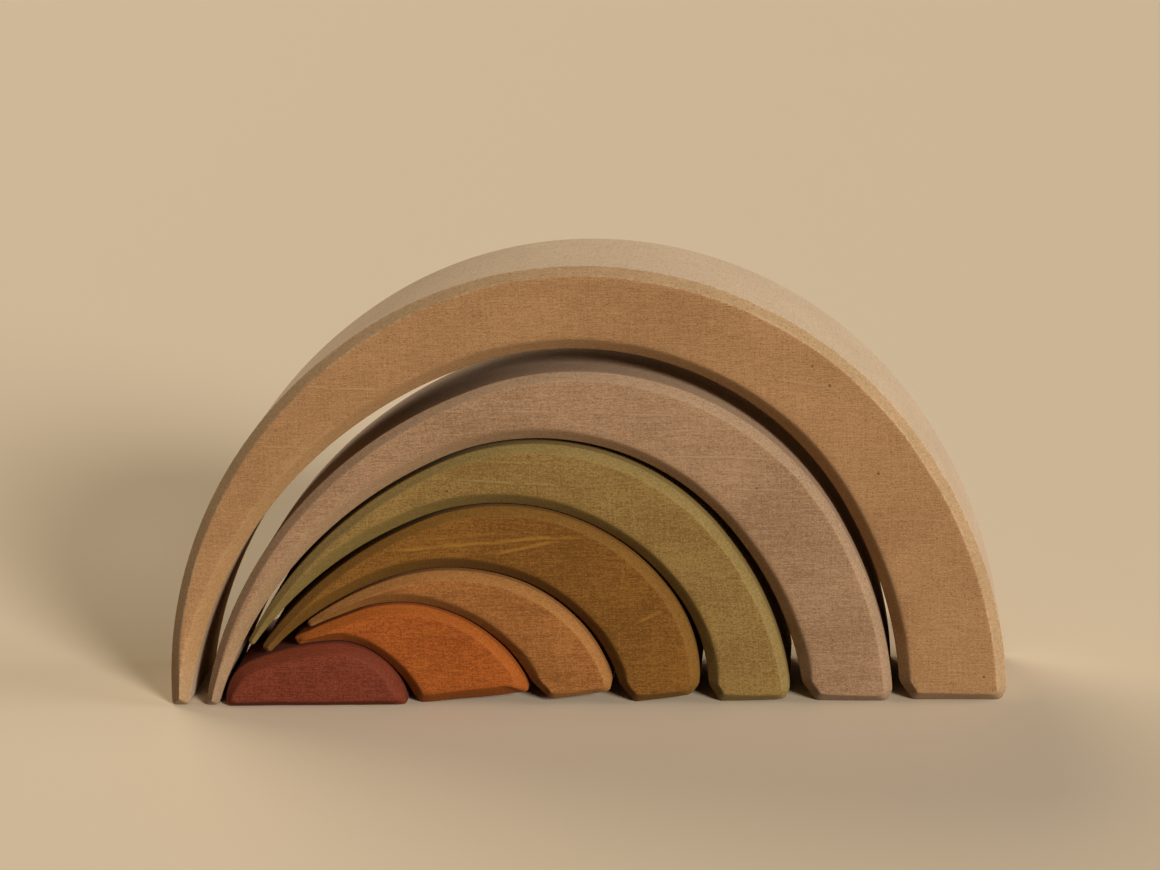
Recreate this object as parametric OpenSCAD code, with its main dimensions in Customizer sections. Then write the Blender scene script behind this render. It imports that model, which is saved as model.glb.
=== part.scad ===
// Rainbow stacker: six nested wooden crescents round a half-moon core, cut from one thick board.
// Every crescent has a blunt foot on the right and thins to a tip on the left.
// Frame: +Z up, +X towards the feet, the shown faces towards -Y. The floor is z = 0, and the origin is the
// middle of the outer arch's footprint. Lengths are in millimetres, angles in degrees up from +X.
//
// Every edge is a crown arc that runs smoothly into a left and a right flank arc. "Flat" is how much larger
// a flank's radius is than its crown's, so a flank with a negative value is rounder than the crown.
// An inner edge is set from the outer edge of the same arch, and an outer edge from the inner edge round it.

/* [Board] */
// Thickness of the board, front to back
depth = 45; // [30:1:70]
// Chamfer along the curved edges of the front and back faces
edge_c = 3; // [2.8:0.1:3.6]
// Chamfer along the edges of soles and blunt tips
end_c = 2.6; // [2.2:0.1:2.6]
// Chamfer along the edges of the cuts on a foot's corners
corner_c = 2; // [1.6:0.1:2]
// Clearance between an arch and the piece that it rests on
seat = 0.4; // [0.3:0.1:0.8]

/* [Foot corners] */
// Width of the cut on the inner corner of a foot
heel_w = 3.5; // [1:0.5:5]
// Height of the cut on the inner corner of a foot
heel_h = 6; // [2:0.5:8]
// Width of the cut on the outer corner of a foot
toe_w = 2; // [0.5:0.5:3]
// Height of the cut on the outer corner of a foot
toe_h = 3.5; // [1:0.5:5]

/* [Outer arch] */
// Crown radius of the outer edge, which all other curves grow with
outer_r = 122; // [90:1:138]
// Height of the crown's centre above the floor
outer_z = 16.5; // [12:0.5:22]
// Where the outer edge's left flank starts
outer_left_angle = 119; // [112:1:126]
// How much flatter the outer edge's left flank is
outer_left_flat = 21; // [12:1:30]
// Where the outer edge's right flank starts
outer_right_angle = 37; // [30:1:44]
// How much flatter the outer edge's right flank is
outer_right_flat = 29; // [20:1:38]
// Sideways shift of the inner crown's centre
outer_in_x = -3; // [-5:0.5:-1]
// Rise of the inner crown's centre
outer_in_z = 3.5; // [2:0.5:5]
// How much smaller the inner crown's radius is
outer_in_r = 29; // [27:0.5:31]
// Where the inner edge's left flank starts
outer_in_left_angle = 108; // [106:1:110]
// How much flatter the inner edge's left flank is
outer_in_left_flat = 49; // [45:1:53]
// Where the inner edge's right flank starts
outer_in_right_angle = 29; // [25:1:33]
// How much flatter the inner edge's right flank is
outer_in_right_flat = 42; // [36:1:48]

/* [Mauve arch] */
// Gap to the arch round it, before it is dropped and slid
mauve_gap = 3.3; // [2.5:0.1:4]
// How far it has slid to the right
mauve_shift = 1.2; // [0:0.1:1.8]
// How far it is dropped
mauve_drop = 3.5; // [1:0.1:5]
// Sideways shift of the inner crown's centre
mauve_in_x = -12.5; // [-13.5:0.5:-11.5]
// Rise of the inner crown's centre
mauve_in_z = -5.5; // [-7:0.5:-4]
// How much smaller the inner crown's radius is
mauve_in_r = 15.5; // [14.5:0.5:16.5]
// Where the inner edge's left flank starts
mauve_in_left_angle = 113; // [112:1:114]
// How much flatter the inner edge's left flank is
mauve_in_left_flat = 61; // [59:1:63]
// Where the inner edge's right flank starts
mauve_in_right_angle = 39; // [34:1:44]
// How much flatter the inner edge's right flank is
mauve_in_right_flat = 28; // [23:1:33]

/* [Green arch] */
// Gap to the arch round it, before it is raised and slid
green_gap = 3.1; // [2.6:0.1:3.6]
// How far it has slid to the right
green_shift = -1; // [-1.4:0.1:0]
// Least gap that is left to the arch round it
green_least = 1.1; // [0.5:0.1:1.1]
// Sideways shift of the inner crown's centre
green_in_x = -12; // [-13:0.5:-11]
// Rise of the inner crown's centre
green_in_z = -13.5; // [-14.5:0.5:-12.5]
// How much smaller the inner crown's radius is
green_in_r = 5.5; // [5:0.5:6]
// Where the inner edge's left flank starts
green_in_left_angle = 111; // [111:1:112]
// How much flatter the inner edge's left flank is
green_in_left_flat = 59; // [57:1:60]
// Where the inner edge's right flank starts
green_in_right_angle = 30; // [25:1:35]
// How much flatter the inner edge's right flank is
green_in_right_flat = -14; // [-18:1:-10]
// Rise of the foot's sole towards its outer side
green_tilt = 2.5; // [0:0.5:5]
// Where the tip ends, seen from the centre of the left flank
green_tip_angle = 151; // [148:0.5:152]

/* [Ochre arch] */
// Gap to the arch round it, before it is raised and slid
ochre_gap = 3.4; // [2.9:0.1:3.9]
// How far it has slid to the right
ochre_shift = 0.8; // [0:0.1:1.6]
// Sideways shift of the inner crown's centre
ochre_in_x = -16; // [-17:0.5:-15]
// Rise of the inner crown's centre
ochre_in_z = -17.5; // [-18.5:0.5:-17]
// How much smaller the inner crown's radius is
ochre_in_r = 2.5; // [2:0.5:3]
// Where the inner edge's left flank starts
ochre_in_left_angle = 107; // [106:1:108]
// How much flatter the inner edge's left flank is
ochre_in_left_flat = 36; // [34:1:38]
// Where the inner edge's right flank starts
ochre_in_right_angle = 70; // [65:1:75]
// How much flatter the inner edge's right flank is
ochre_in_right_flat = -10.5; // [-13:0.5:-8]
// Rise of the foot's sole towards its outer side
ochre_tilt = 8; // [0:0.5:10]
// Where the tip ends, seen from the centre of the left flank
ochre_tip_angle = 143.5; // [142:0.25:143.5]

/* [Tan arch] */
// Gap to the arch round it, before it is raised and slid
tan_gap = 1.6; // [1.3:0.1:2.2]
// How far it has slid to the right
tan_shift = -0.4; // [-0.8:0.1:0.4]
// Sideways shift of the inner crown's centre
tan_in_x = -16; // [-17:0.5:-15]
// Rise of the inner crown's centre
tan_in_z = 6.5; // [5.5:0.5:6.5]
// How much smaller the inner crown's radius is
tan_in_r = 17; // [17:0.5:18]
// Where the inner edge's left flank starts
tan_in_left_angle = 109; // [108:1:111]
// How much flatter the inner edge's left flank is
tan_in_left_flat = 185; // [165:5:205]
// Where the inner edge's right flank starts
tan_in_right_angle = 77; // [70:1:84]
// How much flatter the inner edge's right flank is
tan_in_right_flat = 4.5; // [3:0.5:6]
// Rise of the foot's sole towards its outer side
tan_tilt = 8; // [0:0.5:10]
// Height of the foot above the floor, as the arch rests on the one inside it
tan_lift = 1.2; // [0:0.1:2]
// Where the tip ends, seen from the centre of the left flank
tan_tip_angle = 126.25; // [124:0.25:127]

/* [Orange arch] */
// Gap to the arch round it, before it is raised and slid
orange_gap = 2; // [1.6:0.1:2.6]
// How far it has slid to the right
orange_shift = 0.2; // [-0.6:0.1:1]
// Sideways shift of the inner crown's centre
orange_in_x = -21; // [-22:0.5:-20]
// Rise of the inner crown's centre
orange_in_z = 5; // [4:0.5:5]
// How much smaller the inner crown's radius is
orange_in_r = 17; // [17:0.5:18]
// Where the inner edge's left flank starts
orange_in_left_angle = 93; // [92:1:95]
// How much flatter the inner edge's left flank is
orange_in_left_flat = 57; // [52:1:60]
// Where the inner edge's right flank starts
orange_in_right_angle = 52; // [46:1:58]
// How much flatter the inner edge's right flank is
orange_in_right_flat = 13; // [10:1:16]
// Rise of the foot's sole towards its outer side
orange_tilt = 6; // [0:0.5:8]
// Width of the cut on the inner corner of its foot
orange_heel_w = 1; // [0.5:0.5:3]
// Height of the cut on the inner corner of its foot
orange_heel_h = 2; // [1:0.5:5]
// Where the tip ends, seen from the centre of the left flank
orange_tip_angle = 114.75; // [113:0.25:115]

/* [Red core] */
// Gap to the arch over it
red_gap = 0.6; // [0.4:0.1:0.9]
// Where the left shoulder starts
red_left_angle = 112; // [108:1:113]
// Radius of the left shoulder
red_left_r = 14.5; // [10:0.5:17.5]

/* [Hidden] */
// Outer crown radius for which the lengths of the curves are given
drawn_r = 122;
$fn = 240;
// How far a cut runs past the faces that it opens
over = 1;
// How far the flatter of two neighbouring arcs starts under the rounder one, so that the two cross
under = 0.05;
// More than the size of anything that is cut
reach = 900;

// How much larger the curves are than they are given
grow = outer_r / drawn_r;

// An edge is [crown x, crown z, crown r, left at, left r, right at, right r].
function flank_centre(e, at, r) = [e[0] + (e[2] - r) * cos(at), e[1] + (e[2] - r) * sin(at)];
function left_centre(e) = flank_centre(e, e[3], e[4]);
function right_centre(e) = flank_centre(e, e[5], e[6]);
function right_x(e, z) = let (c = right_centre(e)) c[0] + sqrt(e[6] * e[6] - (z - c[1]) * (z - c[1]));
function left_x(e, z) = let (c = left_centre(e)) c[0] - sqrt(e[4] * e[4] - (z - c[1]) * (z - c[1]));

// Inner edge of an arch: its crown is moved and made smaller.
function inner_edge(e, x, z, less, left_angle, left_flat, right_angle, right_flat) =
    let (r = e[2] - less * grow)
    [e[0] + x * grow, e[1] + z * grow, r,
     left_angle, r + left_flat * grow, right_angle, r + right_flat * grow];

// Outer edge of the next arch: the same arcs, a gap further in, then moved as a whole.
function nested_edge(e, gap, x, z) =
    [e[0] + x, e[1] + z, e[2] - gap, e[3], e[4] - gap, e[5], e[6] - gap];

// The same, raised until only the least gap is left.
function raised_edge(e, gap, x, least) = nested_edge(e, gap, x, sqrt((gap - least) * (gap - least) - x * x));

// The outer edge is centred, so that its two ends lie as far left as right.
outer_raw = [0, outer_z * grow, outer_r, outer_left_angle, outer_r + outer_left_flat * grow,
             outer_right_angle, outer_r + outer_right_flat * grow];
outer_left = left_x(outer_raw, max(0, left_centre(outer_raw)[1]));
outer_right = right_x(outer_raw, max(0, right_centre(outer_raw)[1]));
outer_out = nested_edge(outer_raw, 0, -(outer_left + outer_right) / 2, 0);
outer_in = inner_edge(outer_out, outer_in_x, outer_in_z, outer_in_r,
                      outer_in_left_angle, outer_in_left_flat, outer_in_right_angle, outer_in_right_flat);

mauve_out = nested_edge(outer_in, mauve_gap, mauve_shift, -mauve_drop);
mauve_in = inner_edge(mauve_out, mauve_in_x, mauve_in_z, mauve_in_r,
                      mauve_in_left_angle, mauve_in_left_flat, mauve_in_right_angle, mauve_in_right_flat);

green_out = raised_edge(mauve_in, green_gap, green_shift, green_least);
green_in = inner_edge(green_out, green_in_x, green_in_z, green_in_r,
                      green_in_left_angle, green_in_left_flat, green_in_right_angle, green_in_right_flat);

ochre_out = raised_edge(green_in, ochre_gap, ochre_shift, seat);
ochre_in = inner_edge(ochre_out, ochre_in_x, ochre_in_z, ochre_in_r,
                      ochre_in_left_angle, ochre_in_left_flat, ochre_in_right_angle, ochre_in_right_flat);

tan_out = raised_edge(ochre_in, tan_gap, tan_shift, seat);
tan_in = inner_edge(tan_out, tan_in_x, tan_in_z, tan_in_r,
                    tan_in_left_angle, tan_in_left_flat, tan_in_right_angle, tan_in_right_flat);

orange_out = raised_edge(tan_in, orange_gap, orange_shift, seat);
orange_in = inner_edge(orange_out, orange_in_x, orange_in_z, orange_in_r,
                       orange_in_left_angle, orange_in_left_flat,
                       orange_in_right_angle, orange_in_right_flat);

// The core's crown follows the left flank over it, and its right shoulder the crown over it.
red_crown = left_centre(orange_in);
red_out = [red_crown[0], red_crown[1], orange_in[4] - red_gap, red_left_angle, red_left_r * grow,
           orange_in[3], orange_in[2]];

// Disc across the board with chamfered rims; a flared one widens towards the faces and runs past them.
module disc(c, r, flared) {
    y = depth / 2;
    rim = flared
        ? [[0, -y - over], [r + edge_c + over, -y - over], [r, edge_c - y],
           [r, y - edge_c], [r + edge_c + over, y + over], [0, y + over]]
        : [[0, -y], [r - edge_c, -y], [r, edge_c - y], [r, y - edge_c], [r - edge_c, y], [0, y]];
    translate([c[0], 0, c[1]]) rotate([90, 0, 0]) rotate_extrude() polygon(rim);
}

// All space on one side of the line through c at an angle: left is the side towards larger angles.
module half_space(c, at, left) {
    translate([c[0], 0, c[1]]) rotate([0, -at, 0])
        translate([-reach, -reach, left ? 0 : -2 * reach]) cube(2 * reach);
}

// A flank arc's disc. One flatter than the crown keeps to its own side of the line where it leaves it.
module flank(e, c, r, at, left, flared) {
    if (r < e[2]) disc(c, r + under, flared);
    else intersection() {
        disc(c, r - under, flared);
        half_space(e, at, left);
    }
}

// Everything under an edge, from its three arcs. The crown ends where a rounder flank takes over.
module dome(e, flared = false) {
    difference() {
        disc(e, e[2], flared);
        if (e[4] < e[2]) half_space(e, e[3], true);
        if (e[6] < e[2]) half_space(e, e[5], false);
    }
    flank(e, left_centre(e), e[4], e[3], true, flared);
    flank(e, right_centre(e), e[6], e[5], false, flared);
}

// Straight cut from p towards an angle, with rims chamfered by c. It takes away the right-hand side.
module straight_cut(p, at, c, back, ahead, deep) {
    y = depth / 2;
    rim = [[-y - over, c + over], [c - y, 0], [y - c, 0],
           [y + over, c + over], [y + over, -deep], [-y - over, -deep]];
    translate([p[0], 0, p[1]]) rotate([0, -at, 0]) translate([-back, 0, 0])
        rotate([90, 0, 90]) linear_extrude(back + ahead) polygon(rim);
}

// Sole of a foot and the cuts on its two corners.
module foot_cuts(out, in, tilt, lift, heel_w = heel_w, heel_h = heel_h) {
    heel = [right_x(in, lift) + heel_w, lift];
    heel_top = [right_x(in, lift + heel_h), lift + heel_h];
    toe = [right_x(out, lift) - toe_w, lift + tan(tilt) * (right_x(out, lift) - toe_w - heel[0])];
    toe_top = [right_x(out, toe[1] + toe_h), toe[1] + toe_h];
    heel_angle = atan2(heel[1] - heel_top[1], heel[0] - heel_top[0]);
    toe_angle = atan2(toe_top[1] - toe[1], toe_top[0] - toe[0]);
    straight_cut(heel, tilt, end_c, reach, reach, reach);
    straight_cut(heel, heel_angle, corner_c, 3 * heel_h, heel_h, 2 * heel_h);
    straight_cut(toe, toe_angle, corner_c, toe_h, 3 * toe_h, 2 * toe_h);
}

// Blunt end of a tip that stays clear of the floor.
module tip_cut(out, at) {
    c = left_centre(out);
    end = [c[0] + out[4] * cos(at), c[1] + out[4] * sin(at)];
    straight_cut(end, at + 180, end_c, reach, reach, reach);
}

module outer_arch() {
    color("#B38556") difference() {
        dome(outer_out);
        dome(outer_in, true);
        foot_cuts(outer_out, outer_in, 0, 0);
    }
}

module mauve_arch() {
    color("#AC8562") difference() {
        dome(mauve_out);
        dome(mauve_in, true);
        foot_cuts(mauve_out, mauve_in, 0, 0);
    }
}

module green_arch() {
    color("#97733F") difference() {
        dome(green_out);
        dome(green_in, true);
        foot_cuts(green_out, green_in, green_tilt, 0);
        tip_cut(green_out, green_tip_angle);
    }
}

module ochre_arch() {
    color("#875926") difference() {
        dome(ochre_out);
        dome(ochre_in, true);
        foot_cuts(ochre_out, ochre_in, ochre_tilt, 0);
        tip_cut(ochre_out, ochre_tip_angle);
    }
}

module tan_arch() {
    color("#A36935") difference() {
        dome(tan_out);
        dome(tan_in, true);
        foot_cuts(tan_out, tan_in, tan_tilt, tan_lift);
        tip_cut(tan_out, tan_tip_angle);
    }
}

module orange_arch() {
    color("#A85823") difference() {
        dome(orange_out);
        dome(orange_in, true);
        foot_cuts(orange_out, orange_in, orange_tilt, 0, orange_heel_w, orange_heel_h);
        tip_cut(orange_out, orange_tip_angle);
    }
}

module red_core() {
    color("#7F3C27") difference() {
        dome(red_out);
        straight_cut([red_crown[0], 0], 0, end_c, reach, reach, reach);
    }
}

outer_arch();
mauve_arch();
green_arch();
ochre_arch();
tan_arch();
orange_arch();
red_core();
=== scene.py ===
import bpy
import math
import numpy as np
from mathutils import Matrix, Vector


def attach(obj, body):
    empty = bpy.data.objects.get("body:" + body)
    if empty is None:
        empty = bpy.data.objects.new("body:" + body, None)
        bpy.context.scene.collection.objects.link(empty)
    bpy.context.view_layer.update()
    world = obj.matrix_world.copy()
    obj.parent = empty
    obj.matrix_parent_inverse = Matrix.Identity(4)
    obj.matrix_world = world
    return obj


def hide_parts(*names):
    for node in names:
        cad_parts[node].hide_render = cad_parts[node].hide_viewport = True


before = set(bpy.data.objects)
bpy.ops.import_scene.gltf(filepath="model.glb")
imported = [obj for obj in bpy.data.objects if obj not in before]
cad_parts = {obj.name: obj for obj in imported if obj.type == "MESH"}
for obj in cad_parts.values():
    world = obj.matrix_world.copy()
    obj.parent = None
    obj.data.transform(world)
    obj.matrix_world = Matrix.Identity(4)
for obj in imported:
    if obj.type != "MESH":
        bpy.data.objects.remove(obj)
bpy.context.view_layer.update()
print("frame loaded:", len(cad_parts), "pieces")

# what sawing, planing and sanding leave on every piece, with lengths in metres
bench = {
    "halfDepth": 0.0225,
    "planed": 0.003,             # width of the planed edge round a face
    "turnOver": 0.07,            # share of a curve over which its planed edge takes on the width of the next
    "behind": 0.0001,            # how far behind the planed edge an outline is sliced
    "sliceJoin": 0.0002,         # points of a slice closer than this become one
    "corner": math.radians(15),  # an outline that turns more than this has a corner there
    "step": 0.0004,              # spacing of the points on an outline while it is worked on
    "longest": 0.0028,           # longest mesh edge along an outline
    "turn": math.radians(11),    # most that an outline turns from one mesh edge to the next
    "evenOver": 15,              # steps on either side over which the crowding of mesh edges is evened out
    "tipReach": 1.1,             # where a middle line starts, in lengths of the tip's end cut
    "footReach": 0.013,          # where it ends, past half the sole's length
    "wornHighlightWidth": 0.0003,         # half width of the rubbed line, a lighter line of wear and painted highlight, where a planed edge meets the face
    "shares": 4000,              # places along an outline at which its crowding is worked out
    "stops": 26,                 # places along a spoke at which its depth is measured
    "stopsBend": 1.6,            # above 1, those places are closer together near the rim
    "solidJoin": 1e-6,           # points of a solid, and of a carved piece, closer than these become one
    "pieceJoin": 2e-7,
    "frontSeed": 50,             # what a piece's front adds to the seed of its back
}

# rows of the mesh, from a piece's side over the eased and planed edges to its middle line
rowPlan = {
    "side": (0.018, 0.05, 0.2, 0.35, 0.5, 0.65, 0.8, 0.95, 0.982),      # shares of the depth
    "eased": ((0, 2, 0.5), (15, 1.75, 1), (30, 1.4, 1), (45, 1, 0.8)),  # angle, edgeWay and wear with painted highlight
    "planed": (0.2, 0.4, 0.6, 0.8, 0.9, 0.96, 1, 1.04, 1.1, 1.2, 1.4),  # in widths of the planed edge
    "face": (0.1, 0.25, 0.5, 0.75, 1),                                  # shares of what is left
    "ridgeFrom": 1.9,    # depth of the spine, in widths, under which the rows start to be evenly spaced
    "ridgeAll": 1.4,     # and under which they all are
    "creaseDeep": 0.42,  # how round the line between planed edge and face is, in creases
    "creaseWide": 0.8,
}


def wake(obj):
    bpy.ops.object.select_all(action="DESELECT")
    obj.select_set(True)
    bpy.context.view_layer.objects.active = obj


def outlineOf(node):
    # a slice through a copy of the piece, just behind its planed edge, as points (x, z) in order
    cut = bpy.data.objects.new("slice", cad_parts[node].data.copy())
    bpy.context.scene.collection.objects.link(cut)
    wake(cut)
    bpy.ops.object.mode_set(mode="EDIT")
    bpy.ops.mesh.select_all(action="SELECT")
    bpy.ops.mesh.remove_doubles(threshold=bench["solidJoin"])
    bpy.ops.mesh.select_all(action="SELECT")
    level = bench["planed"] - bench["halfDepth"] + bench["behind"]
    bpy.ops.mesh.bisect(plane_co=(0, level, 0), plane_no=(0, 1, 0), clear_inner=True, clear_outer=True)
    bpy.ops.mesh.select_all(action="SELECT")
    bpy.ops.mesh.remove_doubles(threshold=bench["sliceJoin"])
    bpy.ops.object.mode_set(mode="OBJECT")
    nextTo = {v.index: [] for v in cut.data.vertices}
    for edge in cut.data.edges:
        a, b = edge.vertices
        nextTo[a].append(b)
        nextTo[b].append(a)
    order = [0, nextTo[0][0]]
    while True:
        ahead = [v for v in nextTo[order[-1]] if v != order[-2]][0]
        if ahead == order[0]:
            break
        order.append(ahead)
    points = np.array([(cut.data.vertices[v].co.x, cut.data.vertices[v].co.z) for v in order])
    spare = cut.data
    bpy.data.objects.remove(cut)
    bpy.data.meshes.remove(spare)
    x, z = points.T
    area = np.sum(x * np.roll(z, -1) - np.roll(x, -1) * z)
    return points if area > 0 else points[::-1]


def turns(points):
    after, before = np.roll(points, -1, 0) - points, points - np.roll(points, 1, 0)
    cross = before[:, 0] * after[:, 1] - before[:, 1] * after[:, 0]
    return np.arctan2(cross, np.sum(before * after, axis=1))


def splineThrough(points):
    # evenly spaced points on a smooth curve through the given ones, without the last
    chord = np.linalg.norm(np.diff(points, axis=0), axis=1)
    along = np.concatenate([[0], np.cumsum(chord)])
    slope = np.gradient(points, along, axis=0)
    count = max(2, round(along[-1] / bench["step"]))
    s = np.linspace(0, along[-1], count + 1)[:-1]
    k = np.clip(np.searchsorted(along, s, side="right") - 1, 0, len(chord) - 1)
    u, w = ((s - along[k]) / chord[k])[:, None], chord[k][:, None]
    return ((2 * u**3 - 3 * u**2 + 1) * points[k] + (u**3 - 2 * u**2 + u) * w * slope[k]
            + (3 * u**2 - 2 * u**3) * points[k + 1] + (u**3 - u**2) * w * slope[k + 1])


def rubbedOutline(node, rubbed):
    # the outline as a dense closed curve with its corners rubbed round, and its straight runs
    points = outlineOf(node)
    corner = np.where(np.abs(turns(points)) > bench["corner"])[0]
    dense, straight = [], []
    for a, b in zip(corner, np.roll(corner, -1)):
        run = points[a:b + 1] if b > a else np.concatenate([points[a:], points[:b + 1]])
        if len(run) == 2:
            straight.append((run.mean(0), float(np.linalg.norm(run[1] - run[0]))))
        dense.append(splineThrough(run))
    curve = np.concatenate(dense)
    for _ in range(round(2 * (rubbed / bench["step"]) ** 2)):
        curve = (np.roll(curve, 1, 0) + 2 * curve + np.roll(curve, -1, 0)) / 4
    return curve, straight


def walk(path):
    return np.concatenate([[0], np.cumsum(np.linalg.norm(np.diff(path, axis=0), axis=1))])


def sampled(path, share):
    along = walk(path)
    return np.stack([np.interp(share * along[-1], along, path[:, c]) for c in (0, 1)], axis=1)


def crowding(path, shares):
    # how many mesh edges a path needs per unit of its share, by its length and its turns
    along = walk(path)
    bend = np.abs(turns(path)) / bench["step"]
    bend[[0, -1]] = 0
    need = along[-1] * np.maximum(1 / bench["longest"], bend / bench["turn"])
    width = bench["evenOver"]
    need = np.convolve(np.pad(need, width, mode="edge"), np.ones(2 * width + 1) / (2 * width + 1), "valid")
    return np.interp(shares, along / along[-1], need)


def distanceTo(curve, points):
    # distance of points from a closed curve
    a, d = curve, np.roll(curve, -1, 0) - curve
    square = np.sum(d * d, axis=1)
    best = np.empty(len(points))
    batch = 400
    for start in range(0, len(points), batch):
        p = points[start:start + batch, None, :] - a[None]
        t = np.clip(np.sum(p * d, axis=2) / square, 0, 1)
        best[start:start + batch] = np.sqrt(np.min(np.sum((p - t[..., None] * d) ** 2, axis=2), axis=1))
    return best


def wander(count, seed, waves=(2, 3, 5, 8, 13, 29)):
    # a slow closed wave between about -1 and 1, for what a hand leaves uneven
    rng = np.random.default_rng(seed)
    at = np.linspace(0, 2 * math.pi, count, endpoint=False)
    total = sum(np.sin(w * at + rng.uniform(0, 2 * math.pi)) / math.sqrt(w) for w in waves)
    return total / np.max(np.abs(total))


def carve(look):
    # inset and bevel cross themselves in the thin tips, so a grid is wrapped round the piece instead:
    # one way round its outline, the other way from one face's middle line over the side to the other's
    curve, straight = rubbedOutline(look["node"], look["rubbed"])
    if len(straight) > 1:
        tip = min(straight, key=lambda run: run[0][0])
        sole = max((run for run in straight if run is not tip), key=lambda run: run[1])
        tipPoint, solePoint = tip[0], sole[0]
        nose, foot = bench["tipReach"] * tip[1], sole[1] / 2 + bench["footReach"]
    else:
        tipPoint, solePoint = curve[curve[:, 0].argmin()], curve[curve[:, 0].argmax()]
        nose = foot = look["endReach"]
    curve = np.roll(curve, -np.linalg.norm(curve - tipPoint, axis=1).argmin(), axis=0)
    sole = np.linalg.norm(curve - solePoint, axis=1).argmin()
    closed = np.concatenate([curve, curve[:1]])
    upper, lower = closed[:sole + 1], closed[sole:][::-1]
    if upper[:, 1].mean() < lower[:, 1].mean():
        upper, lower = lower, upper

    # shares of the two paths, closer together where either of them bends
    fine = np.linspace(0, 1, bench["shares"])
    need = np.maximum(crowding(upper, fine), crowding(lower, fine))
    grown = np.concatenate([[0], np.cumsum((need[1:] + need[:-1]) / 2 * np.diff(fine))])
    share = np.interp(np.linspace(0, grown[-1], math.ceil(grown[-1]) + 1), grown, fine)
    rim = np.concatenate([sampled(upper, share), sampled(lower, share)[-2:0:-1]])
    held = np.clip(share, nose / walk(upper)[-1], 1 - foot / walk(lower)[-1])
    middle = (sampled(upper, held) + sampled(lower, held)) / 2
    spine = np.concatenate([middle, middle[-2:0:-1]])
    meeting = np.unique(np.concatenate([held, held[-2:0:-1]]), return_inverse=True)[1]
    count = len(rim)

    def levelled(values):
        # one value for all the spokes that end at the same point of the spine
        return (np.bincount(meeting, values) / np.bincount(meeting))[meeting]

    # the planed edge is narrower and crisper along the outer curve of an arch than along its inner curve
    onCurve = np.clip(np.minimum(share, 1 - share) / bench["turnOver"], 0, 1)
    onCurve = onCurve**2 * (3 - 2 * onCurve)
    half = (look["outerEdge"] - look["innerEdge"]) / 2 * onCurve
    between = (look["outerEdge"] + look["innerEdge"]) / 2
    planed = bench["planed"] * np.concatenate([between + half, (between - half)[-2:0:-1]])
    inner = np.concatenate([0 * onCurve, onCurve[-2:0:-1]])
    crease = look["eased"] * (1 + look["innerSoft"] * inner)

    # how deep a point lies in the piece, along the spoke from each rim point to the spine
    stops = np.linspace(0, 1, bench["stops"]) ** bench["stopsBend"]
    spokes = rim[:, None] + stops[None, :, None] * (spine - rim)[:, None]
    depth = np.maximum.accumulate(distanceTo(curve, spokes.reshape(-1, 2)).reshape(count, -1), axis=1)
    within, eased = depth[:, -1], look["eased"]

    def face(seed, sign):
        # rows of one face from the side to the spine, each point with its edgeWay (2 side, 1 planed, 0 face),
        # its wear with painted highlight and whether it is on the inner curve
        width = planed * (1 + look["uneven"] * wander(count, seed))
        rows = []
        for angle, way, wornHighlight in rowPlan["eased"]:
            into = eased * (1 - math.cos(math.radians(angle)))
            back = eased * (math.tan(math.pi / 8) - math.sin(math.radians(angle)))
            rows.append((np.full(count, into), width + back, np.full(count, way), np.full(count, wornHighlight)))
        first, flatStart = rows[-1][0], rowPlan["planed"][-1] * width
        steps = [part * width for part in rowPlan["planed"]]
        steps += [flatStart + part * (within - flatStart) for part in rowPlan["face"]]
        # 1 where the two planed edges meet in a ridge, which has evenly spaced rows
        ridgeSpan = rowPlan["ridgeFrom"] - rowPlan["ridgeAll"]
        ridge = np.clip((rowPlan["ridgeFrom"] * width - within) / (ridgeSpan * width), 0, 1)
        for k, into in enumerate(steps):
            even = first + (within - first) * (k + 1) / len(steps)
            rows.append((into + ridge * (even - into), None, None, None))
        made = []
        for k, (into, back, way, wornHighlight) in enumerate(rows):
            rest, inside = width - into, inner
            if back is None:
                back = (rest + np.sqrt(rest**2 + (rowPlan["creaseDeep"] * crease) ** 2)) / 2
                way = np.clip(0.5 + rest / (rowPlan["creaseWide"] * crease), 0, 1)
                wornHighlight = np.exp(-((rest / bench["wornHighlightWidth"]) ** 2))
            reach = np.array([np.interp(into[i], depth[i], stops) for i in range(count)])
            if k == len(rows) - 1:
                reach[:] = 1
                back, way, wornHighlight, inside = (levelled(values) for values in (back, way, wornHighlight, inside))
            flat = rim + reach[:, None] * (spine - rim)
            y = sign * (bench["halfDepth"] - back)
            made.append(np.stack([flat[:, 0], y, flat[:, 1], way, wornHighlight, inside], axis=1))
        return made

    back, front = face(look["seed"], 1), face(look["seed"] + bench["frontSeed"], -1)
    sides = [back[0] + (front[0] - back[0]) * t for t in rowPlan["side"]]
    columns = {"edgeWay": 3, "wornHighlight": 4, "innerCurve": 5}
    for row in sides:
        row[:, columns["wornHighlight"]] = 0
    rows = np.array(back[::-1] + sides + front)
    rows = np.concatenate([rows, rows[:, :1]], axis=1)

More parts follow.
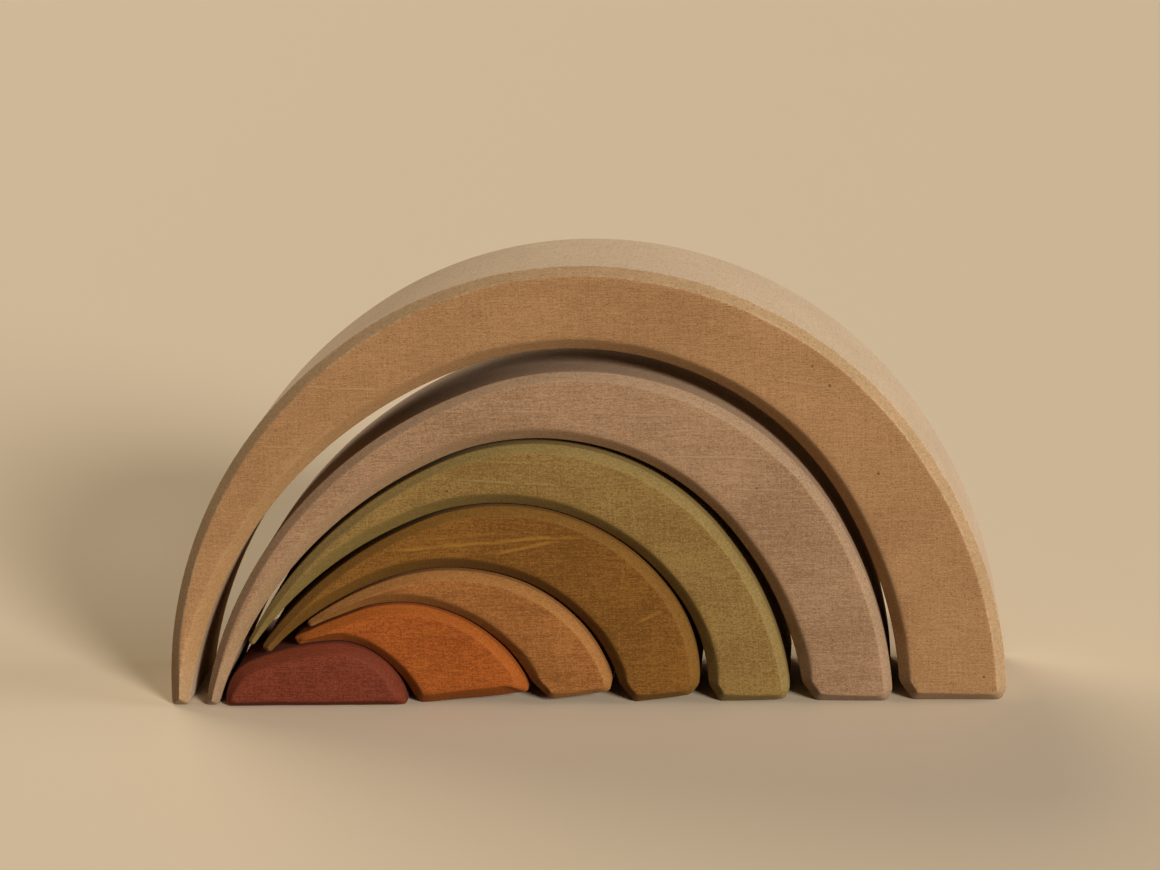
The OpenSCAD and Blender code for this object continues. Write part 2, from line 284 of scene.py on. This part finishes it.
    wide, high = rows.shape[0], rows.shape[1]
    bpy.ops.object.select_all(action="DESELECT")
    bpy.ops.mesh.primitive_grid_add(x_subdivisions=wide - 1, y_subdivisions=high - 1, size=2)
    piece = bpy.context.active_object
    piece.name = piece.data.name = look["name"]
    start = np.empty(len(piece.data.vertices) * 3)
    piece.data.vertices.foreach_get("co", start)
    start = start.reshape(-1, 3)
    across = np.rint((start[:, 0] + 1) / 2 * (wide - 1)).astype(int)
    along = np.rint((start[:, 1] + 1) / 2 * (high - 1)).astype(int)
    wrapped = rows[across, along]
    piece.data.vertices.foreach_set("co", wrapped[:, :3].ravel())
    for name, column in columns.items():
        kept = piece.data.attributes.new(name, "FLOAT", "POINT")
        kept.data.foreach_set("value", wrapped[:, column].copy())
    piece.data.update()
    bpy.ops.object.mode_set(mode="EDIT")
    bpy.ops.mesh.select_all(action="SELECT")
    bpy.ops.mesh.remove_doubles(threshold=bench["pieceJoin"])
    bpy.ops.mesh.select_all(action="SELECT")
    bpy.ops.mesh.normals_make_consistent(inside=False)
    bpy.ops.object.mode_set(mode="OBJECT")
    bpy.ops.object.shade_smooth()
    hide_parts(look["node"])
    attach(piece, look["node"])
    print(look["name"], "carved:", len(piece.data.polygons), "faces")
    return piece


class Wire:
    # one socket of a material; sums of wires add their own Math nodes
    def __init__(self, tree, socket=None):
        self.tree, self.socket = tree, socket

    def node(self, kind, settings=None, inputs=None, out=0):
        made = self.tree.nodes.new(kind)
        for name, value in (settings or {}).items():
            setattr(made, name, value)
        for name, value in (inputs or {}).items():
            if isinstance(value, Wire):
                self.tree.links.new(value.socket, made.inputs[name])
            else:
                made.inputs[name].default_value = value
        return Wire(self.tree, made.outputs[out])

    def other(self, out):
        return Wire(self.tree, self.socket.node.outputs[out])

    def maths(self, operation, a, b=0.0):
        return self.node("ShaderNodeMath", {"operation": operation}, {0: a, 1: b})

    def __add__(self, b):
        return self.maths("ADD", self, b)

    def __sub__(self, b):
        return self.maths("SUBTRACT", self, b)

    def __rsub__(self, b):
        return self.maths("SUBTRACT", b, self)

    def __mul__(self, b):
        return self.maths("MULTIPLY", self, b)

    def __truediv__(self, b):
        return self.maths("DIVIDE", self, b)

    def __abs__(self):
        return self.maths("ABSOLUTE", self)

    __radd__ = __add__


def stretched(place, sizes):
    return place.node("ShaderNodeVectorMath", {"operation": "MULTIPLY"},
                      {0: place, 1: tuple(1 / s for s in sizes)})


def cloudy(place, sizes, detail=2.0, rough=0.55):
    # soft noise round 0 whose blots have these sizes along x, y and z
    noise = {"Vector": stretched(place, sizes), "Scale": 1.0, "Detail": detail, "Roughness": rough}
    return place.node("ShaderNodeTexNoise", {"noise_dimensions": "3D"}, noise) - 0.5


def ramp(value, low, high):
    return value.node("ShaderNodeMapRange", {"interpolation_type": "SMOOTHSTEP"},
                      {"Value": value, "From Min": low, "From Max": high})


def tint(share, first, second):
    return share.node("ShaderNodeMix", {"data_type": "RGBA"}, {0: share, 6: first, 7: second}, out=2)


def shade(colour, level, warm=0.0):
    # a colour made lighter or darker, with its blue and green drawn down as it warms
    r, g, b = colour
    return (r * level, g * level * (1 - warm / 2), b * level * (1 - warm), 1)


def toned(tone, colour, tones):
    # a colour between its dark and its light grain
    dark, light = tones
    return tint(tone, shade(colour, *dark), shade(colour, *light))


# the grain of the board, as sizes in millimetres along x, y and z
grain = {
    "fibre": (7, 0.8, 0.38), "tick": (1.3, 0.6, 0.26), "thread": (0.5, 2, 9), "speck": (0.45, 0.45, 0.35),
    "cloud": (40, 30, 20), "pore": (1.9, 0.8, 0.75), "fuzz": (0.5, 0.5, 0.5), "coarse": (1.6, 1.6, 1.1),
    "bend": (34, 25, 30), "quiver": (5, 3, 3), "break": (9, 6, 3),
}

# how the parts of the grain show; a ramp is given by its two ends, a tone by its level and its warmth
finish = {
    "weave": {"fibre": 0.7, "tick": 0.7, "thread": 0.35, "speck": 1.1},
    "edge": {"coarse": 0.25, "fibre": 0.6, "cloud": 0.4},
    "poreRim": (0.14, 0.3), "poreSoft": 0.02,
    "lineIn": (-0.15, 0.2), "lineOut": (0.75, 1.15),  # shares of a growth line over which it comes and goes
    "lineCore": 0.05, "lineBreak": (-0.22, 0.06), "lineBend": 3.2, "lineQuiver": 0.7,
    "darkWidth": 0.55, "darkShare": 0.6,              # the darker lower side of a growth line
    "pitCore": 0.45, "pitDark": 2,
    "ragged": 0.2, "planed": (0.3, 0.7), "side": (1.15, 1.9), "rubbed": (-0.12, 0.2),
    "innerSide": 0.5, "innerWornHighlight": 0.7,
    "faceTones": ((0.72, 0.1), (1.28, -0.06)),        # tones of the dark and of the light grain
    "edgeTones": ((0.68, 0.08), (1.3, -0.04)),
    "sideTones": ((0.72, 0.08), (1.26, -0.04)),
    "darkTone": (0.45, 0.2), "poreTone": (0.4, 0.2), "wornHighlightTone": 1.18,
    "lineCover": 0.8, "darkCover": 0.5, "poreCover": 0.4,
    "rough": {"plain": 0.66, "weave": 0.25, "planed": 0.1, "pore": 0.15, "wornHighlight": 0.08},
    "height": {"weave": 0.8, "dark": 0.6, "planed": 0.5}, "bump": 0.6, "sheenRough": 0.6,
}


def woodFinish(look):
    made = bpy.data.materials.new(look["slot"])
    made.use_nodes = True
    made.node_tree.nodes.clear()
    start = Wire(made.node_tree)
    here = start.node("ShaderNodeTexCoord", out="Object")
    # from metres to millimetres
    place = start.node("ShaderNodeVectorMath", {"operation": "SCALE"}, {0: here, "Scale": 1000.0})
    board = start.node("ShaderNodeVectorMath", {"operation": "ADD"}, {0: place, 1: look["boardAt"]})
    x = start.node("ShaderNodeSeparateXYZ", inputs={0: place}, out="X")
    y, z = x.other("Y"), x.other("Z")

    # sanded face: fibres along the board, upright threads, fine specks, slow clouds, open pores
    fibre = cloudy(board, grain["fibre"])
    tick = cloudy(board, grain["tick"], 1.0)
    thread = cloudy(board, grain["thread"])
    speck = cloudy(board, grain["speck"], 1.0)
    cloud = cloudy(board, grain["cloud"], 3.0)
    much = finish["weave"]
    weave = fibre * much["fibre"] + tick * much["tick"] + thread * much["thread"] + speck * much["speck"]
    pit = start.node("ShaderNodeTexVoronoi", {"voronoi_dimensions": "3D", "feature": "F1"},
                     {"Vector": stretched(board, grain["pore"]), "Scale": 1.0}, out="Distance")
    chance = start.node("ShaderNodeSeparateColor", inputs={0: pit.other("Color")}, out="Red")
    bare = 1 - look["pores"]
    pore = (1 - ramp(pit, *finish["poreRim"])) * ramp(chance, bare, bare + finish["poreSoft"])

    # growth lines: a pale streak with a darker lower side, wavering between its two ends
    lean, frontLevel = 0.12, 2.7  # the lines fall to the back, and are given where they meet the front
    level = z + y * lean + frontLevel
    level = level + cloudy(board, grain["bend"], 2.0) * finish["lineBend"]
    level = level + cloudy(board, grain["quiver"], 2.0) * finish["lineQuiver"]
    broken = ramp(cloudy(board, grain["break"], 2.0), *finish["lineBreak"])
    core, wide = finish["lineCore"], look["lineWidth"]
    pale, dark = 0.0, 0.0
    for x0, z0, x1, z1, strength in look["streaks"]:
        share = (x - x0) / (x1 - x0)
        off = level - (z0 + share * (z1 - z0))
        ends = ramp(share, *finish["lineIn"]) * (1 - ramp(share, *finish["lineOut"])) * broken
        pale = pale + (1 - ramp(abs(off), core, wide)) * ends * strength
        below = 1 - ramp(abs(off + wide), core, finish["darkWidth"])
        dark = dark + below * ends * (finish["darkShare"] * strength)
    for x0, z0, size in look["pits"]:
        seen = start.node("ShaderNodeCombineXYZ", inputs={0: x, 1: z})
        away = start.node("ShaderNodeVectorMath", {"operation": "DISTANCE"},
                          {0: seen, 1: (x0, z0, 0)}, out="Value")
        dark = dark + (1 - ramp(away, finish["pitCore"] * size, size)) * finish["pitDark"]

    # planed edges and sides: open grain, with a ragged line where the plane stopped; along the inner curve,
    # where the edges face down, they are nearer to the face in colour, darkened in part as painted shade, and
    # get less of the rubbed line with its painted highlight
    fuzz = cloudy(board, grain["fuzz"], 1.0)
    coarse = cloudy(board, grain["coarse"], 2.0)
    edgeWay = start.node("ShaderNodeAttribute", {"attribute_name": "edgeWay"}, out="Fac")
    planed = ramp(edgeWay + (coarse + fuzz) * finish["ragged"], *finish["planed"])
    side = ramp(edgeWay, *finish["side"])
    inner = start.node("ShaderNodeAttribute", {"attribute_name": "innerCurve"}, out="Fac")
    wornHighlight = start.node("ShaderNodeAttribute", {"attribute_name": "wornHighlight"}, out="Fac")
    wornHighlight = wornHighlight * ramp(coarse + cloud, *finish["rubbed"]) * (1 - inner * finish["innerWornHighlight"])

    faceTone = 0.5 + weave * look["weave"] + cloud * look["cloud"]
    much = finish["edge"]
    edgeTone = 0.5 + fuzz * look["fuzz"] + coarse * (much["coarse"] * look["fuzz"])
    edgeTone = edgeTone + fibre * much["fibre"] + cloud * much["cloud"]
    # planed edges along the inner curve face down; their inside colour is on most pieces darker than the edge
    # colour, partly as painted shade
    insidePaintedShadeColour = toned(edgeTone, look["inside"], finish["edgeTones"])
    planedColour = tint(inner, toned(edgeTone, look["edge"], finish["edgeTones"]), insidePaintedShadeColour)
    sideColour = toned(edgeTone, look["side"], finish["sideTones"])
    sideColour = tint(inner * finish["innerSide"], sideColour, insidePaintedShadeColour)
    colour = toned(faceTone, look["face"], finish["faceTones"])
    colour = tint(planed, colour, tint(side, planedColour, sideColour))
    colour = tint(pale * finish["lineCover"], colour, shade(look["streak"], 1))
    colour = tint(dark * finish["darkCover"], colour, shade(look["face"], *finish["darkTone"]))
    colour = tint(pore * finish["poreCover"], colour, shade(look["face"], *finish["poreTone"]))
    # the rubbed line where the planed edge meets the face: a lighter line of wear, partly a painted highlight
    # where the crease catches the light
    colour = tint(wornHighlight * look["wearHighlight"], colour, shade(look["side"], finish["wornHighlightTone"]))

    much = finish["rough"]
    rough = much["plain"] + weave * much["weave"] + planed * much["planed"]
    rough = rough + pore * much["pore"] - wornHighlight * much["wornHighlight"]
    much = finish["height"]
    height = weave * much["weave"] - pore - dark * much["dark"] + planed * (fuzz + fibre) * much["planed"]
    bump = start.node("ShaderNodeBump", inputs={
        "Strength": finish["bump"], "Distance": look["relief"], "Height": height})
    shader = start.node("ShaderNodeBsdfPrincipled", inputs={
        "Base Color": colour, "Roughness": rough, "Normal": bump,
        "Specular IOR Level": look["gloss"], "Sheen Weight": look["sheen"],
        "Sheen Roughness": finish["sheenRough"]})
    surface = made.node_tree.nodes.new("ShaderNodeOutputMaterial").inputs["Surface"]
    made.node_tree.links.new(shader.socket, surface)
    return made


def finished(look):
    # settings that all the pieces share, unless a piece has its own
    look = {
        "rubbed": 0.0007, "eased": 0.0005, "innerSoft": 1.6, "outerEdge": 0.8, "innerEdge": 1.3, "uneven": 0.1,
        "weave": 1.9, "cloud": 0.8, "fuzz": 1.3, "pores": 0.4, "wearHighlight": 0.3, "relief": 0.00006,
        "gloss": 0.1, "sheen": 0.02, "pits": (), "lineWidth": 0.5, **look}
    piece = carve(look)
    piece.data.materials.clear()
    piece.data.materials.append(woodFinish(look))


# inside: colour of the planed edges along the inner curve, on most pieces darker than the edge colour, partly
# as painted shade
outerArch = {
    "node": "outer_arch", "name": "outerArch", "slot": "natural_wood", "seed": 10, "boardAt": (310, 40, 20),
    "face": (0.4, 0.218, 0.097), "streak": (0.51, 0.315, 0.16),
    # side: the sawn sides, paler and greyer than the face; part of this paleness is painted sheen of the lit
    # top
    "edge": (0.405, 0.262, 0.139), "inside": (0.402, 0.23, 0.1), "side": (0.59, 0.445, 0.305),
    "streaks": ((-80.5, 104, -55, 102, 0.7), (-95, 85, -78.5, 84.5, 0.5), (55.5, 104, 83, 100.5, 0.6),
                (77.5, 79.5, 98.5, 79, 0.3), (91.5, 58.5, 113, 58.5, 0.5), (-25.5, 120, -1.5, 118.5, 0.3)),
    "pits": ((73, 107, 0.5), (78, 101, 0.6), (92, 73.5, 0.6), (123, 8.5, 0.5)),
    "outerEdge": 0.95, "pores": 0.55, "weave": 1.5, "fuzz": 1.0,
}
finished(outerArch)

mauveArch = {
    "node": "mauve_arch", "name": "mauveArch", "slot": "mauve_stain", "seed": 11, "boardAt": (-120, 75, 230),
    "face": (0.367, 0.219, 0.121), "streak": (0.476, 0.315, 0.187),
    "edge": (0.35, 0.228, 0.138), "inside": (0.385, 0.242, 0.13), "side": (0.36, 0.24, 0.15),
    "streaks": ((-39, 95.5, 4.5, 93.5, 0.8), (4.5, 93.5, 36, 92, 0.6), (29, 79.5, 60.5, 79, 0.8),
                (42.5, 75.5, 57.5, 74.5, 0.5), (46.5, 69.5, 67.5, 69, 0.6), (64.5, 62, 74.5, 62.5, 0.5)),
    "pits": ((55.5, 69.5, 0.5),),
    "wearHighlight": 0.45, "weave": 1.6, "cloud": 1.3,
}
finished(mauveArch)

greenArch = {
    "node": "green_arch", "name": "greenArch", "slot": "green_stain", "seed": 12, "boardAt": (45, -160, 90),
    "face": (0.27, 0.163, 0.049), "streak": (0.357, 0.255, 0.094),
    "edge": (0.25, 0.173, 0.059), "inside": (0.23, 0.156, 0.044), "side": (0.255, 0.172, 0.056),
    "streaks": ((-35.5, 73, 2, 70.5, 0.8), (2, 70.5, 19.5, 71.5, 0.6), (-27.5, 79, 3.5, 77.5, 0.6),
                (45, 17, 59.5, 18.5, 0.3)),
    "pits": ((-38.5, 70, 0.5),),
    "wearHighlight": 0.35, "weave": 2.1, "cloud": 1.2,
}
finished(greenArch)

ochreArch = {
    "node": "ochre_arch", "name": "ochreArch", "slot": "ochre_stain", "seed": 13, "boardAt": (-260, 15, -75),
    "face": (0.214, 0.092, 0.017), "streak": (0.36, 0.17, 0.028),
    "edge": (0.195, 0.092, 0.018), "inside": (0.166, 0.078, 0.011), "side": (0.2, 0.09, 0.017),
    "streaks": ((-58.5, 52, -21, 53, 1.0), (-23, 53.5, 1.5, 55, 0.9), (-24.5, 49.5, -5, 53.5, 0.9),
                (15, 25.5, 28, 31, 0.7), (-44.5, 55, -17, 56, 0.3)),
    "lineWidth": 0.9, "weave": 2.5, "cloud": 1.4,
}
finished(ochreArch)

tanArch = {
    "node": "tan_arch", "name": "tanArch", "slot": "tan_stain", "seed": 14, "boardAt": (180, 210, 140),
    "face": (0.326, 0.127, 0.034), "streak": (0.4, 0.18, 0.05),
    "edge": (0.325, 0.145, 0.042), "inside": (0.315, 0.14, 0.0315), "side": (0.32, 0.138, 0.039),
    "streaks": ((-33, 38, -11.5, 36.5, 0.3), (-15.5, 22, 3.5, 23, 0.3)),
    "weave": 2.5, "cloud": 1.4,
}
finished(tanArch)

orangeArch = {
    "node": "orange_arch", "name": "orangeArch", "slot": "orange_stain", "seed": 15, "boardAt": (-35, 120, 305),
    "face": (0.352, 0.09, 0.0155), "streak": (0.44, 0.145, 0.025),
    "edge": (0.335, 0.09, 0.014), "inside": (0.295, 0.081, 0.0077), "side": (0.33, 0.088, 0.013),
    "streaks": ((-55.5, 14.5, -37.5, 12, 0.6), (-46, 10, -35, 10, 0.5), (-38.5, 23.5, -32, 25, 0.5),
                (-53, 25, -39.5, 23.5, 0.6)),
    "weave": 2.6, "cloud": 1.4,
}
finished(orangeArch)

redCore = {
    "node": "red_core", "name": "redCore", "slot": "red_stain", "seed": 16, "boardAt": (95, -60, -210),
    "endReach": 0.012,
    "face": (0.184, 0.04, 0.019), "streak": (0.255, 0.072, 0.038),
    # inside: about 0.7 of the edge colour, partly painted shade on the down-facing inner edges
    "edge": (0.16, 0.034, 0.014), "inside": (0.115, 0.0245, 0.0095), "side": (0.16, 0.034, 0.014),
    "streaks": ((-97.5, 12, -69, 12.5, 0.3), (-88.5, 6, -60, 6.5, 0.3)),
    "eased": 0.0014, "outerEdge": 1, "innerEdge": 0.6, "innerSoft": 0, "wearHighlight": 0.12, "weave": 3.2,
}
finished(redCore)

# floor, light and camera
floorLook = {"size": 30, "rough": 0.9, "gloss": 0.1,
             "pale": (0.76, 0.64, 0.49, 1), "bounce": (0.18, 0.1, 0.045, 1)}
bpy.ops.object.select_all(action="DESELECT")
bpy.ops.mesh.primitive_plane_add(size=floorLook["size"], location=(0, 0, 0))
floor = bpy.context.active_object
floor.name = "floor"
paper = bpy.data.materials.new("paleFloor")
paper.use_nodes = True
paperShader = paper.node_tree.nodes["Principled BSDF"]
paperShader.inputs["Roughness"].default_value = floorLook["rough"]
paperShader.inputs["Specular IOR Level"].default_value = floorLook["gloss"]
seen = Wire(paper.node_tree).node("ShaderNodeLightPath", out="Is Camera Ray")
paper.node_tree.links.new(tint(seen, floorLook["bounce"], floorLook["pale"]).socket,
                          paperShader.inputs["Base Color"])
floor.data.materials.append(paper)

worldLook = {"light": (0.07, 0.05, 0.025, 1), "pale": (0.58, 0.47, 0.34, 1)}
world = bpy.data.worlds.new("studio")
bpy.context.scene.world = world
world.use_nodes = True
sky = Wire(world.node_tree).node("ShaderNodeLightPath", out="Is Camera Ray")
world.node_tree.links.new(tint(sky, worldLook["light"], worldLook["pale"]).socket,
                          world.node_tree.nodes["Background"].inputs["Color"])

lamps = {
    "main": {"from": (0.6, -0.73, 0.32), "strength": 3.15, "softness": 16, "colour": (1, 0.95, 0.87)},
    "right": {"from": (0.9, -0.1, 0.42), "strength": 0.9, "softness": 30, "colour": (1, 0.97, 0.93)},
    "rear": {"from": (-0.6, 0.68, 0.42), "strength": 2.1, "softness": 50, "colour": (1, 0.88, 0.68)},
}
for name, lamp in lamps.items():
    light = bpy.data.lights.new(name, "SUN")
    light.energy, light.angle, light.color = lamp["strength"], math.radians(lamp["softness"]), lamp["colour"]
    holder = bpy.data.objects.new(name, light)
    bpy.context.scene.collection.objects.link(holder)
    holder.rotation_euler = Vector(lamp["from"]).to_track_quat("Z", "Y").to_euler()

# the camera of the photo, with its focal length and width in the photo's pixels
eye = {"place": (0.085, -0.8207, 0.312), "yaw": 5.87, "pitch": 15.66, "roll": -2.54,
       "focus": 2770, "across": 1160, "sensor": 36}
yaw, pitch, roll = (math.radians(eye[k]) for k in ("yaw", "pitch", "roll"))
ahead = Vector((-math.sin(yaw) * math.cos(pitch), math.cos(yaw) * math.cos(pitch), -math.sin(pitch)))
flat = Vector((math.cos(yaw), math.sin(yaw), 0))
upright = flat.cross(ahead)
right = flat * math.cos(roll) + upright * math.sin(roll)
up = upright * math.cos(roll) - flat * math.sin(roll)
camera = bpy.data.objects.new("camera", bpy.data.cameras.new("camera"))
bpy.context.scene.collection.objects.link(camera)
camera.matrix_world = Matrix.Translation(eye["place"]) @ Matrix((right, up, -ahead)).transposed().to_4x4()
camera.data.sensor_width = eye["sensor"]
camera.data.lens = eye["sensor"] * eye["focus"] / eye["across"]
bpy.context.scene.camera = camera
bpy.context.scene.view_settings.view_transform = "Standard"
print("floor, lamps and camera set")
